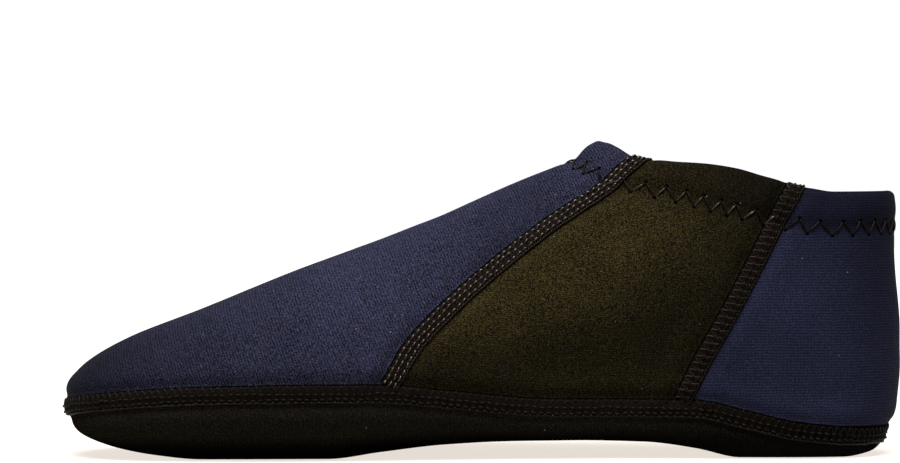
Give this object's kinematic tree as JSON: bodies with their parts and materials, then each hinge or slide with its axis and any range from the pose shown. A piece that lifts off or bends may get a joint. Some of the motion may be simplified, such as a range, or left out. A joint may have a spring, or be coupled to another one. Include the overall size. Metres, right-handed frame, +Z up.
{
  "type": "travel slipper",
  "caption": "Right-foot slip-on travel slipper: a stretch upper in navy and black panels, open at the collar, flat-seamed to a soft black sole that rises up the sides.",
  "frame": {"origin": "on the floor, under the middle of the shoe's box", "axes": "+X from the toe to the heel, +Y to the outer side of the foot, +Z up"},
  "size_m": [0.2606, 0.0952, 0.0976],
  "materials": {
    "navy_jersey": "foam-backed stretch jersey, matt",
    "black_sole_fabric": "soft fabric-faced rubber foam, matt",
    "black_thread": "sewing thread, slight sheen"
  },
  "bodies": {
    "root": {"upper": "navy_jersey", "sole": "black_sole_fabric", "seam_sole": "black_thread", "seam_vamp_inner": "black_thread", "seam_vamp_outer": "black_thread", "seam_heel_inner": "black_thread", "seam_heel_outer": "black_thread"}
  },
  "joints": []
}
